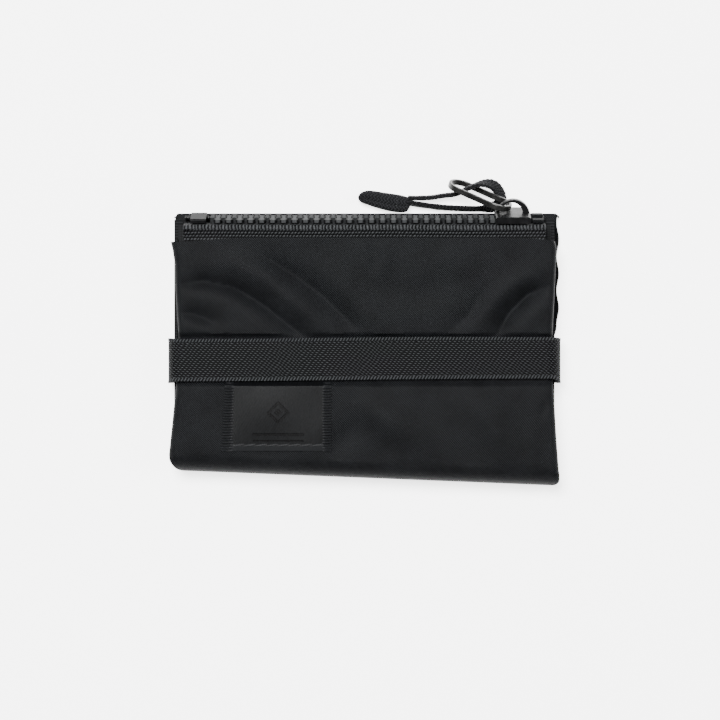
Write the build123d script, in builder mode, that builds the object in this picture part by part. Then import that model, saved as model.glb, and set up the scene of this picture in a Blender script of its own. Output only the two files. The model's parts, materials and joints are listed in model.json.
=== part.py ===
"""Folded zippered pouch: a flat rear leaf with note and card pockets, a zipped coin pocket folded
onto it, an elastic band round both, and a slider with a ring and a woven lace.

The pouch lies on its back. +X runs along the zip, +Y from the fold to the zip, +Z up through the
leaves. The origin is on the back run of the band, on the surface the pouch lies on. Millimetres.
"""
from build123d import *
from math import cos, pi, radians, sin, tan
import os

os.makedirs("parts", exist_ok=True)

# ---- driving dimensions ----
LEAF_WIDTH = 112.8         # both leaves, along the zip
TOP_Y = 38.0               # upper edge of the rear leaf
FOLD_Y = -34.3             # where the leaves end and the fold begins
FOLD_BULGE = 4.4           # how far the fold stands out below the leaves
THICKNESS = 12.4           # folded pouch, over both leaves
REAR_THICKNESS = 3.9       # rear leaf alone
LEAF_GAP = 0.3             # between the folded leaves
SHELL_WALL = 0.8           # nylon outer cloth with its backing
CORNER_R = 3.0             # plan corners at the top of the rear leaf
EDGE_R = 2.2               # rounding along the long side edges of the coin pocket
BAND_WIDTH = 13.2
BAND_CENTRE_Y = -4.8
BAND_THICKNESS = 1.2
BAND_GAP = 0.1             # band to the leaves it squeezes
HEM_Y = 31.2               # upper edge of the coin pocket's face
PANEL_INSET = 1.2          # coin pocket's face inside the leaf's side edges
LINING = 0.3               # thin woven lining and card pockets
CARD_GAP = 0.25            # room for a card in each card pocket
BINDING_WIDTH = 2.6        # grosgrain over each side edge
BINDING = 0.4              # grosgrain thickness
BINDING_RISE = 2.4         # height of the coin pocket's side bindings
BINDING_PROUD = 0.8        # how far they stand outside the coin pocket's face
SIDE_HEM = 2.4             # rear shell's turned-in edges, round the note pocket
SEAM = 2.0                 # sewn margin of each card pocket
SEW_IN = 0.7               # coin pocket's lower seam, in from the fold
UPPER_POCKET_TOP = 22.0
LOWER_POCKET_TOP = 8.0
TAPE = 0.6                 # zip tape thickness
TAPE_HALF_LENGTH = 53.0
CHAIN_Y = 36.5             # centre line of the zip chain
CHAIN_DROP = 3.5           # chain's centre below the coin pocket's face
CHAIN_TILT = 66.0          # chain face turned up from facing the ceiling, degrees
TOOTH_PITCH = 3.22
TOOTH_DEPTH = 2.4          # through the chain
TEETH = 27                 # in each row
FIRST_TOOTH_X = -44.6
CHAIN_HALF_WIDTH = 3.0
BOTTOM_STOP = (4.6, 6.4, 2.8)   # along the zip, across it and through it
TOP_STOP = (3.2, 1.6)      # each top stop, along the zip and across it
TOP_STOP_OUT = 2.2         # their middles, out from the chain's centre line and from the slider
SLIDER_LENGTH = 10.3
SLIDER_X = 43.55           # slider's middle, zip closed
SLIDER_PLATE = 1.05
SLIDER_HALF_WIDTH = 4.4    # top plate, over its flanges
SLIDER_CORNER = 0.8
FLANGE = (0.7, 0.95)       # width and depth
BACK_PLATE = (2.3, 0.9)    # half width and thickness
POST = (2.2, 1.8)          # between the parting rows
POST_X = 3.3
SLIDER_GAP = 0.25          # plates to the teeth
BRIDGE_HALF = 4.9          # arched bridge on the top plate
BRIDGE_HEIGHT = 4.1
BRIDGE_WIDTH = 1.6
BRIDGE_HOLE = (-4.0, 2.9)  # ends of the opening under the arch
BRIDGE_HOLE_HEIGHT = 3.25
WIRE = 0.9                 # ring strip thickness
STRIP = 1.7                # ring strip width
RING_HEIGHT = 8.6          # over the ring's short side
RING_SEAT = 0.4            # ring clear of the slider's top plate
RING_BACK = 1.2            # ring's near end, back from the slider's middle
RING_ASIDE = 0.2           # and across from it
RING_REACH = Vector(-16.5, 8.1, -7.0)   # from the bridge to the ring's far end
RING_LEAN = Vector(-1.64, -2.75, 6.9)   # way up for the ring's short side
RING_EDGE = 0.25
LACE = 1.6                 # round tube that stands for the flat lace
TAB_SIZE = (13.2, 6.3, 3.0)
TAB_CORNER = 2.6
TAB_STITCH = (0.35, 0.9, 0.2)
TAB_STITCH_PITCH = 1.3
TAB_STITCH_BACK = 3.6      # stitches from the tab's middle towards the ring
LABEL_SIZE = (31.1, 19.2)
LABEL_X = -25.2
LABEL_THICKNESS = 0.35
STITCH_PITCH = 3.6
STITCH = (2.7, 0.35, 0.2)
STITCH_INSET = 1.8         # stitches above the label's lower edge

# ---- sizes that follow from them ----
half = LEAF_WIDTH / 2
channel_depth = BAND_THICKNESS + 0.2
channel_low = BAND_CENTRE_Y - BAND_WIDTH / 2 - 0.5
channel_high = BAND_CENTRE_Y + BAND_WIDTH / 2 + 0.5
rear_floor = channel_depth + SHELL_WALL          # inner face of the rear shell's side hems
front_half = half - PANEL_INSET
front_low = REAR_THICKNESS + LEAF_GAP
pocket_low = front_low + LINING
pocket_floor = pocket_low + BINDING
panel_inside = THICKNESS - SHELL_WALL
tilt = radians(CHAIN_TILT)
chain_z = THICKNESS - CHAIN_DROP
chain = Plane(origin=(0, CHAIN_Y, chain_z), x_dir=(1, 0, 0), z_dir=(0, sin(tilt), cos(tilt)))
tooth_half = TOOTH_DEPTH / 2
plate_in = tooth_half + SLIDER_GAP
plate_out = plate_in + SLIDER_PLATE


def on_chain(across, out=0.0):
    """(Y, Z) of a point of the chain's section; across is positive towards the rear tape."""
    y = CHAIN_Y + out * sin(tilt) + across * cos(tilt)
    z = chain_z + out * cos(tilt) - across * sin(tilt)
    return (y, z)


def export(piece, name):
    """Label a finished piece and write it."""
    piece.part.label = name
    export_step(piece.part, f"parts/{name}.step")


# ---- rear leaf: outer shell, with a sunk channel for the band and a note pocket behind it ----
with BuildPart() as shell_back:
    with BuildSketch(Plane.XY) as rear_plan:
        with Locations((0, (TOP_Y + FOLD_Y) / 2)):
            Rectangle(LEAF_WIDTH, TOP_Y - FOLD_Y)
        fillet(rear_plan.vertices().group_by(Axis.Y)[-1], CORNER_R)
    extrude(amount=rear_floor)
    with BuildSketch(Plane.YZ) as rear_channel:
        with Locations(((channel_low + channel_high) / 2, channel_depth / 2)):
            Rectangle(channel_high - channel_low, channel_depth)
    extrude(amount=half + 1, both=True, mode=Mode.SUBTRACT)
    with BuildSketch(Plane.YZ) as note_space:
        note_height = rear_floor - SHELL_WALL
        low_span = channel_low - SHELL_WALL - (FOLD_Y + SIDE_HEM)
        with Locations((FOLD_Y + SIDE_HEM + low_span / 2, SHELL_WALL + note_height / 2)):
            Rectangle(low_span, note_height)
        high_span = TOP_Y + 1 - (channel_high + SHELL_WALL)
        with Locations((TOP_Y + 1 - high_span / 2, SHELL_WALL + note_height / 2)):
            Rectangle(high_span, note_height)
    extrude(amount=half - SIDE_HEM, both=True, mode=Mode.SUBTRACT)
export(shell_back, "shell_back")

# ---- the fold: outer cloth that turns round the bottom edge ----
with BuildPart() as shell_fold:
    with BuildSketch(Plane.YZ) as fold_section:
        with Locations((FOLD_Y, THICKNESS / 2)):
            Ellipse(FOLD_BULGE, THICKNESS / 2)
            Ellipse(FOLD_BULGE - SHELL_WALL, THICKNESS / 2 - SHELL_WALL, mode=Mode.SUBTRACT)
        with Locations((FOLD_Y - 0.02 + THICKNESS / 2, THICKNESS / 2)):
            Rectangle(THICKNESS, THICKNESS + 1, mode=Mode.SUBTRACT)
    extrude(amount=front_half, both=True)
export(shell_fold, "shell_fold")

# ---- lining and the two card pockets stacked on it ----
stack_half = half - 1.0
stack_low = FOLD_Y + 1.3
lining_top = TOP_Y - 1.0


def plan_sheet(top_y, low_z, thickness):
    """A thin sheet over the rear leaf from its lower edge up to top_y."""
    with BuildPart() as sheet:
        with BuildSketch(Plane.XY.offset(low_z)):
            with Locations((0, (stack_low + top_y) / 2)):
                Rectangle(2 * stack_half, top_y - stack_low)
        extrude(amount=thickness)
    return sheet


def card_pocket(top_y, low_z):
    """A pocket sheet sewn down along its sides and bottom, open at its top edge."""
    with BuildPart() as pocket:
        add(plan_sheet(top_y, low_z, LINING + CARD_GAP).part)
        with BuildSketch(Plane.XY.offset(low_z)):
            with Locations((0, (stack_low + SEAM + top_y + 1) / 2)):
                Rectangle(2 * (stack_half - SEAM), top_y + 1 - stack_low - SEAM)
        extrude(amount=CARD_GAP, mode=Mode.SUBTRACT)
    return pocket


back_lining = plan_sheet(lining_top, rear_floor, LINING)
export(back_lining, "back_lining")
upper_pocket_z = rear_floor + LINING
card_pocket_upper = card_pocket(UPPER_POCKET_TOP, upper_pocket_z)
export(card_pocket_upper, "card_pocket_upper")
lower_pocket_z = upper_pocket_z + LINING + CARD_GAP
card_pocket_lower = card_pocket(LOWER_POCKET_TOP, lower_pocket_z)
export(card_pocket_lower, "card_pocket_lower")
stack_top = lower_pocket_z + LINING + CARD_GAP


def rear_binding(side):
    """Grosgrain over one side edge of the lining and card pockets, sewn to the shell's hem."""
    length = lining_top - stack_low
    with BuildPart() as binding:
        with BuildSketch(Plane.XY.offset(rear_floor)):
            with Locations((side * (half - BINDING_WIDTH / 2), stack_low + length / 2)):
                Rectangle(BINDING_WIDTH, length)
        extrude(amount=REAR_THICKNESS - rear_floor)
        add(plan_sheet(lining_top, rear_floor, stack_top - rear_floor).part, mode=Mode.SUBTRACT)
    return binding


binding_left = rear_binding(-1)
export(binding_left, "side_binding_left")
binding_right = rear_binding(1)
export(binding_right, "side_binding_right")

with BuildPart() as lining_top_binding:
    with BuildSketch(Plane.YZ):
        with Locations((lining_top - 0.6, rear_floor + LINING / 2)):
            Rectangle(2.0, LINING + 2 * BINDING)
        with Locations((lining_top - 1.0, rear_floor + LINING / 2)):
            Rectangle(2.0, LINING, mode=Mode.SUBTRACT)
    extrude(amount=half - BINDING_WIDTH - 0.2, both=True)
export(lining_top_binding, "lining_top_binding")

# ---- elastic band round both leaves, drawn into the channels ----
band_inner_half = half + BAND_GAP
with BuildPart() as elastic_band:
    with BuildSketch(Plane.XZ.offset(-(BAND_CENTRE_Y + BAND_WIDTH / 2))):
        band_height = THICKNESS - 0.1
        with Locations((0, band_height / 2)):
            RectangleRounded(2 * (band_inner_half + BAND_THICKNESS), band_height, 1.5)
            RectangleRounded(2 * band_inner_half, band_height - 2 * BAND_THICKNESS, 0.3,
                             mode=Mode.SUBTRACT)
    extrude(amount=BAND_WIDTH)
export(elastic_band, "elastic_band")

# ---- front leaf: inner wall of the zipped coin pocket ----
pocket_back_top = CHAIN_Y - 0.9
with BuildPart() as pocket_back:
    with BuildSketch(Plane.XY.offset(pocket_low)):
        with Locations((0, (FOLD_Y + SEW_IN + pocket_back_top) / 2)):
            Rectangle(2 * front_half, pocket_back_top - FOLD_Y - SEW_IN)
    extrude(amount=BINDING)
export(pocket_back, "pocket_back")


def face_profile(inset):
    """Lengthwise section of the coin pocket's face, with the band's channel; inset by a wall."""
    low = FOLD_Y + inset
    top = THICKNESS - inset
    end = HEM_Y + (1 if inset else 0)
    with BuildPart() as block:
        with BuildSketch(Plane.YZ):
            with BuildLine():
                Polyline((low, pocket_floor - (1 if inset else 0)), (low, top),
                         (channel_low - inset, top), (channel_low - inset, top - channel_depth),
                         (channel_high + inset, top - channel_depth), (channel_high + inset, top),
                         (end, top), (end, pocket_floor - (1 if inset else 0)), close=True)
            make_face()
        extrude(amount=half + 1, both=True)
        with BuildSketch(Plane.XZ) as across_section:
            Rectangle(2 * (front_half - inset), 2 * top)
            fillet(across_section.vertices().group_by(Axis.Y)[-1], EDGE_R - inset)
        extrude(amount=2 * LEAF_WIDTH, both=True, mode=Mode.INTERSECT)
    return block


with BuildPart() as shell_front:
    add(face_profile(0.0).part)
    add(face_profile(SHELL_WALL).part, mode=Mode.SUBTRACT)
export(shell_front, "shell_front")


def pocket_binding(side):
    """Grosgrain round one side seam of the coin pocket, outside the face and under the wall."""
    length = HEM_Y - FOLD_Y - SEW_IN
    with BuildPart() as binding:
        with BuildSketch(Plane.XY.offset(front_low)):
            binding_x = front_half + BINDING_PROUD - BINDING_WIDTH / 2
            with Locations((side * binding_x, FOLD_Y + SEW_IN + length / 2)):
                Rectangle(BINDING_WIDTH, length)
        extrude(amount=BINDING_RISE)
        with BuildSketch(Plane.XY.offset(front_low + LINING)):
            Rectangle(2 * front_half, 4 * TOP_Y)
        extrude(amount=2 * BINDING_RISE, mode=Mode.SUBTRACT)
    return binding


pocket_binding_left = pocket_binding(-1)
export(pocket_binding_left, "pocket_binding_left")
pocket_binding_right = pocket_binding(1)
export(pocket_binding_right, "pocket_binding_right")

# ---- zip tapes: each held in its row of teeth and sewn inside the coin pocket's mouth ----
tape_edge = CHAIN_HALF_WIDTH / 2
front_tape_z = panel_inside - TAPE / 2
rear_tape_z = pocket_floor + TAPE / 2


def tape(points, radii):
    """A strip of tape along the zip, from the (Y, Z) points of its section."""
    with BuildPart() as strip:
        with BuildSketch(Plane.YZ):
            with BuildLine() as path:
                FilletPolyline(*points, radius=radii)
            trace(path.edges(), line_width=TAPE)
        extrude(amount=TAPE_HALF_LENGTH, both=True)
    return strip


front_bend_y = on_chain(-CHAIN_HALF_WIDTH - 0.45)[0]
zip_tape_front = tape([on_chain(-tape_edge), on_chain(-CHAIN_HALF_WIDTH - 0.45),
                       (front_bend_y - 1.4, front_tape_z + 0.7),
                       (HEM_Y + 1.4, front_tape_z), (HEM_Y - 3.7, front_tape_z)], [0.6, 1.5, 1.5])
export(zip_tape_front, "zip_tape_front")
zip_tape_rear = tape([on_chain(tape_edge), on_chain(CHAIN_HALF_WIDTH + 0.5),
                      (CHAIN_Y + 0.4, rear_tape_z), (HEM_Y - 3.2, rear_tape_z)], [0.4, 0.6])
export(zip_tape_rear, "zip_tape_rear")


def teeth(side, first_x):
    """One row of moulded teeth; side is +1 on the rear tape and -1 on the front tape."""
    outline = [(-1.1, CHAIN_HALF_WIDTH), (-1.1, tape_edge), (-0.5, 1.1), (-0.5, 0.1), (-0.95, -0.2),
               (-0.95, -0.8), (-0.6, -1.1), (0.6, -1.1), (0.95, -0.8), (0.95, -0.2), (0.5, 0.1),
               (0.5, 1.1), (1.1, tape_edge), (1.1, CHAIN_HALF_WIDTH)]
    places = [(first_x + i * TOOTH_PITCH, 0) for i in range(TEETH)]
    with BuildPart() as tooth:
        with BuildSketch(Plane.XY):
            with BuildLine():
                Polyline(*[(x, side * v) for x, v in outline], close=True)
            make_face()
        extrude(amount=tooth_half, both=True)
        with Locations((0, side * (tape_edge + CHAIN_HALF_WIDTH), 0)):
            Box(4, 2 * CHAIN_HALF_WIDTH, TAPE, mode=Mode.SUBTRACT)
        chamfer(tooth.faces().filter_by(Axis.Y).sort_by(Axis.Y)[-1 if side > 0 else 0].edges()
                .filter_by(Axis.X).group_by(Axis.Z)[-1 if side > 0 else -1], 0.3)
    with BuildPart(chain) as row:
        with Locations(*places):
            add(tooth.part)
    return row


teeth_rear = teeth(1, FIRST_TOOTH_X)
export(teeth_rear, "teeth_rear")
teeth_front = teeth(-1, FIRST_TOOTH_X + TOOTH_PITCH / 2)
export(teeth_front, "teeth_front")

# ---- stops at the ends of the chain, moulded over the tapes ----
travel_end = FIRST_TOOTH_X - 1.8
with BuildPart(chain) as bottom_block:
    with Locations((travel_end - BOTTOM_STOP[0] / 2, 0, 0)):
        Box(*BOTTOM_STOP)
    fillet(bottom_block.edges().filter_by(Axis.X), 0.5)
with BuildPart() as bottom_stop:
    add(bottom_block.part)
    add(zip_tape_front.part, mode=Mode.SUBTRACT)
    add(zip_tape_rear.part, mode=Mode.SUBTRACT)
export(bottom_stop, "bottom_stop")

slider_end = SLIDER_X + SLIDER_LENGTH / 2
with BuildPart(chain) as top_blocks:
    stop_x = slider_end + TOP_STOP_OUT
    with Locations((stop_x, TOP_STOP_OUT, 0), (stop_x, -TOP_STOP_OUT, 0)):
        Box(*TOP_STOP, TOOTH_DEPTH)
with BuildPart() as top_stops:
    add(top_blocks.part)
    add(zip_tape_front.part, mode=Mode.SUBTRACT)
    add(zip_tape_rear.part, mode=Mode.SUBTRACT)
export(top_stops, "top_stops")

# ---- woven label on the coin pocket's face, its upper end at the band's channel ----
label_centre_y = channel_low - 0.1 - LABEL_SIZE[1] / 2
with BuildPart() as label:
    with BuildSketch(Plane.XY.offset(THICKNESS)):
        with Locations((LABEL_X, label_centre_y)):
            Rectangle(*LABEL_SIZE)
    extrude(amount=LABEL_THICKNESS)
export(label, "label")

label_top_z = THICKNESS + LABEL_THICKNESS
with BuildPart() as label_stitches:
    with Locations((LABEL_X, label_centre_y - LABEL_SIZE[1] / 2 + STITCH_INSET,
                    label_top_z + STITCH[2] / 2)):
        with GridLocations(STITCH_PITCH, 1, int(LABEL_SIZE[0] / STITCH_PITCH), 1):
            Box(*STITCH)
export(label_stitches, "label_stitches")

# ---- slider: two plates joined by a post between the parting rows ----
slider_plane = Plane(origin=chain.origin + Vector(SLIDER_X, 0, 0), x_dir=chain.x_dir,
                     z_dir=chain.z_dir)
flange_y = SLIDER_HALF_WIDTH - FLANGE[0] / 2
flange_z = plate_in - FLANGE[1] / 2
with BuildPart(slider_plane) as slider_body:
    with Locations((0, 0, plate_in + SLIDER_PLATE / 2)):
        Box(SLIDER_LENGTH, 2 * SLIDER_HALF_WIDTH, SLIDER_PLATE)
    with Locations((0, flange_y, flange_z), (0, -flange_y, flange_z)):
        Box(SLIDER_LENGTH, *FLANGE)
    with Locations((0, 0, -(plate_in + BACK_PLATE[1] / 2))):
        Box(SLIDER_LENGTH, 2 * BACK_PLATE[0], BACK_PLATE[1])
    with Locations((POST_X, 0, 0)):
        Box(*POST, 2 * plate_in + 0.2)
    top_face = slider_body.faces().sort_by(Axis((0, 0, 0), chain.z_dir))[-1]
    fillet(top_face.edges().filter_by(Axis.X, reverse=True), SLIDER_CORNER)
export(slider_body, "slider_body")

hole_low, hole_high = BRIDGE_HOLE
hole_middle = (hole_low + hole_high) / 2
with BuildPart() as slider_bridge:
    with BuildSketch(Plane(origin=slider_plane.origin, x_dir=(1, 0, 0), z_dir=chain.y_dir * -1)):
        with BuildLine():
            ThreePointArc((-BRIDGE_HALF, plate_out), (0, plate_out + BRIDGE_HEIGHT),
                          (BRIDGE_HALF, plate_out))
            Line((BRIDGE_HALF, plate_out), (-BRIDGE_HALF, plate_out))
        make_face()
        with BuildLine():
            ThreePointArc((hole_low, plate_out), (hole_middle, plate_out + BRIDGE_HOLE_HEIGHT),
                          (hole_high, plate_out))
            Line((hole_high, plate_out), (hole_low, plate_out))
        make_face(mode=Mode.SUBTRACT)
    extrude(amount=BRIDGE_WIDTH / 2, both=True)
    fillet(slider_bridge.edges().filter_by(GeomType.CIRCLE), 0.2)
export(slider_bridge, "slider_bridge")

# ---- pull ring: a long flat-strip ring through the bridge, its far end on the surface ----
ring_out = plate_out + STRIP / 2 + RING_SEAT
ring_near = slider_plane.origin - Vector(RING_BACK, 0, 0) + chain.z_dir * ring_out
ring_near = ring_near + chain.y_dir * RING_ASIDE
print("ring swing point:", ring_near)
ring_far = ring_near + RING_REACH
ring_axis = (ring_near - ring_far).normalized()
ring_up = (RING_LEAN - ring_axis * RING_LEAN.dot(ring_axis)).normalized()
ring_middle = (ring_near + ring_far) * 0.5
ring_plane = Plane(origin=ring_middle, x_dir=ring_axis, z_dir=ring_axis.cross(ring_up))
ring_length = RING_REACH.length + WIRE
with BuildPart() as pull_ring:
    with BuildSketch(ring_plane):
        SlotOverall(ring_length, RING_HEIGHT)
        SlotOverall(ring_length - 2 * WIRE, RING_HEIGHT - 2 * WIRE, mode=Mode.SUBTRACT)
    extrude(amount=STRIP / 2, both=True)
    fillet(pull_ring.edges(), RING_EDGE)
export(pull_ring, "pull_ring")

# ---- woven lace loop through the ring, lying on the surface, and the tab that joins its ends ----
# The route's middle follows the height of the ring's far end, which the lace runs over.
far_z = ring_far.Z
LACE_ROUTE = [
    (12.5, 44.5, 1.5), (17.5, 44.9, 1.3), (23.0, 44.3, 2.4), (28.0, 43.6, far_z + 1.36),
    (32.0, 45.6, far_z + 2.96), (36.5, 48.6, far_z + 2.26), (40.5, 47.5, far_z - 0.64),
    (41.0, 44.0, 1.3), (37.0, 41.2, 1.3), (30.0, 40.9, 1.3), (21.0, 41.5, 1.3), (12.5, 42.2, 1.5),
]


def bend_radii(route):
    """The largest arc at each corner that leaves both its runs a straight stretch."""
    points = [Vector(*p) for p in route]
    radii = []
    for before, corner, after in zip(points, points[1:], points[2:]):
        turn = (corner - before).get_angle(after - corner)
        shorter = min((corner - before).length, (after - corner).length)
        radii.append(0.45 * shorter / tan(radians(turn) / 2))
    return radii


lace_radii = bend_radii(LACE_ROUTE)
print("lace bend radii:", [round(r, 1) for r in lace_radii])
with BuildPart() as pull_cord:
    with BuildLine() as lace_path:
        FilletPolyline(*LACE_ROUTE, radius=lace_radii)
    with BuildSketch(Plane(origin=lace_path.line @ 0, z_dir=lace_path.line % 0)):
        Circle(LACE / 2)
    sweep(path=lace_path.line)
export(pull_cord, "pull_cord")
lace_length = sum(edge.length for edge in lace_path.edges())
lace_section = pi * LACE ** 2 / 4
print("lace length:", round(lace_length, 2))
lace_fill = pull_cord.part.volume / lace_section / lace_length
print("lace volume over section times length:", round(lace_fill, 4))

tab_x = LACE_ROUTE[0][0] - TAB_SIZE[0] / 2
tab_y = (LACE_ROUTE[0][1] + LACE_ROUTE[-1][1]) / 2 + 0.1
with BuildPart() as pull_tab:
    with BuildSketch(Plane.XY) as tab_plan:
        with Locations((tab_x, tab_y)):
            Rectangle(TAB_SIZE[0], TAB_SIZE[1])
        fillet(tab_plan.vertices().group_by(Axis.X)[0], TAB_CORNER)
    extrude(amount=TAB_SIZE[2])
    add(pull_cord.part, mode=Mode.SUBTRACT)
export(pull_tab, "pull_tab")

with BuildPart() as tab_stitches:
    with Locations((tab_x + TAB_STITCH_BACK, tab_y, TAB_SIZE[2] + TAB_STITCH[2] / 2)):
        with GridLocations(1, TAB_STITCH_PITCH, 1, 4):
            Box(*TAB_STITCH)
export(tab_stitches, "tab_stitches")
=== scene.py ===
"""Folded zippered pouch: cloth, band, label, zip tape, lace and metal pieces round the CAD frame."""
import math
import bpy
import numpy as np
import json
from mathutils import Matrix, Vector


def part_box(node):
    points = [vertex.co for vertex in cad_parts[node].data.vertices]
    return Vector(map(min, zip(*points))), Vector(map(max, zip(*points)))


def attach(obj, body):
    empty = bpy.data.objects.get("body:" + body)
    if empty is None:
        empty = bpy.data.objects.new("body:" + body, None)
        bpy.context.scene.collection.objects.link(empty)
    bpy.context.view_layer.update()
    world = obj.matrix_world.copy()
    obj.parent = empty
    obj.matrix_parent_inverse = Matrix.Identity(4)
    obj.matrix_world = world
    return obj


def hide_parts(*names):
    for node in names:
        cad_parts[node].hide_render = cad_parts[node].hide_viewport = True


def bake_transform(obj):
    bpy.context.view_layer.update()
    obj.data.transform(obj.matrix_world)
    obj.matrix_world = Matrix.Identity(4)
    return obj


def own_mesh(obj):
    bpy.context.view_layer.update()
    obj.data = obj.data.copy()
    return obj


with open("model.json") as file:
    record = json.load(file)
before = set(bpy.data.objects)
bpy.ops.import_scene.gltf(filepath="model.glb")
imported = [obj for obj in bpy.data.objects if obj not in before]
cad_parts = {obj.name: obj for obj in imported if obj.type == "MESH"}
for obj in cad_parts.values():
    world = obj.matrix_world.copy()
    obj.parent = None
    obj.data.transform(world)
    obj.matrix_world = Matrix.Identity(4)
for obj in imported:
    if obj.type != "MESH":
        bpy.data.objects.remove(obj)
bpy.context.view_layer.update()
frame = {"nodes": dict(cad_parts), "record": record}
MM = 0.001

# Sizes in millimetres. Places come from the frame's boxes.
CLOTH = 0.5
BAND_THICK = 1.2
LABEL_THICK = 0.36
TAPE_THICK = 0.45
TOOTH_PITCH = 3.22
LACE_WIDTH = 3.4
LACE_THICK = 1.45
TAB_STITCH = 0.16          # radius of the thread
LABEL_STITCH = 0.27
DYE = 0.36                 # depth of the black dye on every cloth, yarn and plastic
CAMERA_PLACE = (-1.3, -4.6, 597.2)
CAMERA_LENS = 100
FLOOR_REACH = 2500
FLOOR_LEVEL = -0.4
FLOOR_GLOW = 2.8


def box_mm(node):
    """A CAD node's lowest and highest corners, in millimetres."""
    low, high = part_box(node)
    return np.array(low) / MM, np.array(high) / MM


rear_low, rear_high = box_mm("shell_back")
face_low, face_high = box_mm("shell_front")
fold_low, fold_high = box_mm("shell_fold")
band_low, band_high = box_mm("elastic_band")
label_low, label_high = box_mm("label")
tape_low, tape_high = box_mm("zip_tape_front")
TOP = face_high[2]
HEM_Y = face_high[1]
FOLD_Y = face_low[1]


# ---------------------------------------------------------------- small helpers
def smooth(x, low, high):
    """0 below low, 1 above high, and a smooth step between."""
    t = np.clip((np.asarray(x, float) - low) / (high - low), 0, 1)
    return t * t * (3 - 2 * t)


def arc_lengths(points):
    """Running length along a list of points."""
    steps = np.linalg.norm(np.diff(points, axis=0), axis=1)
    return np.concatenate([[0], np.cumsum(steps)])


def new_object(name, verts, faces, uv, material, smooth_angle=50):
    """A mesh object at the origin. verts and uv are in millimetres, one uv for each vertex."""
    mesh = bpy.data.meshes.new(name)
    mesh.from_pydata((np.asarray(verts) * MM).tolist(), [], faces)
    layer = mesh.uv_layers.new(name="cloth")
    corner = np.empty(len(mesh.loops), int)
    mesh.loops.foreach_get("vertex_index", corner)
    layer.data.foreach_set("uv", (np.asarray(uv)[corner] * MM).ravel())
    mesh.validate()
    obj = bpy.data.objects.new(name, mesh)
    bpy.context.collection.objects.link(obj)
    obj.data.materials.append(material)
    bpy.ops.object.select_all(action="DESELECT")
    obj.select_set(True)
    bpy.context.view_layer.objects.active = obj
    bpy.ops.object.shade_smooth_by_angle(angle=math.radians(smooth_angle))
    return obj


def grid_normals(grid, wrap):
    """Unit normals of a grid of points; wrap says that the second direction closes on itself."""
    along = np.gradient(grid, axis=0)
    if wrap:
        across = (np.roll(grid, -1, axis=1) - np.roll(grid, 1, axis=1)) / 2
    else:
        across = np.gradient(grid, axis=1)
    normal = np.cross(along, across)
    size = np.linalg.norm(normal, axis=2, keepdims=True)
    return normal / np.where(size < 1e-9, 1, size)


def sheet_object(name, grid, thickness, uv, material, flip=False):
    """A closed sheet: the grid is its outer face, and its inner face is thickness further in."""
    rows, cols = grid.shape[:2]
    normal = grid_normals(grid, False) * (-1 if flip else 1)
    inner = grid - normal * thickness
    verts = np.concatenate([grid.reshape(-1, 3), inner.reshape(-1, 3)])
    back = rows * cols
    index = np.arange(back).reshape(rows, cols)
    a, b = index[:-1, :-1], index[1:, :-1]
    c, d = index[1:, 1:], index[:-1, 1:]
    outer = np.stack([a, b, c, d], axis=2).reshape(-1, 4)
    if flip:
        outer = outer[:, ::-1]
    faces = [outer, outer[:, ::-1] + back]
    rim = np.concatenate([index[0, :], index[1:, -1], index[-1, -2::-1], index[-2:0:-1, 0]])
    after = np.roll(rim, -1)
    edge = np.stack([rim, after, after + back, rim + back], axis=1)
    faces.append(edge[:, ::-1] if flip else edge)
    flat_uv = uv.reshape(-1, 2)
    faces = np.concatenate(faces).tolist()
    return new_object(name, verts, faces, np.concatenate([flat_uv, flat_uv]), material)


def tube_object(name, rings, uv, material, closed=False):
    """A closed skin through rings of points; the ends are capped unless the tube closes on itself."""
    count, sides = rings.shape[:2]
    index = np.arange(count * sides).reshape(count, sides)
    if closed:
        index = np.concatenate([index, index[:1]])
    around = np.concatenate([index, index[:, :1]], axis=1)
    faces = np.stack([around[:-1, :-1], around[:-1, 1:], around[1:, 1:], around[1:, :-1]], axis=2)
    faces = faces.reshape(-1, 4).tolist()
    if not closed:
        faces.append(index[0, ::-1].tolist())
        faces.append(index[-1].tolist())
    return new_object(name, rings.reshape(-1, 3), faces, uv.reshape(-1, 2), material)


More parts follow.
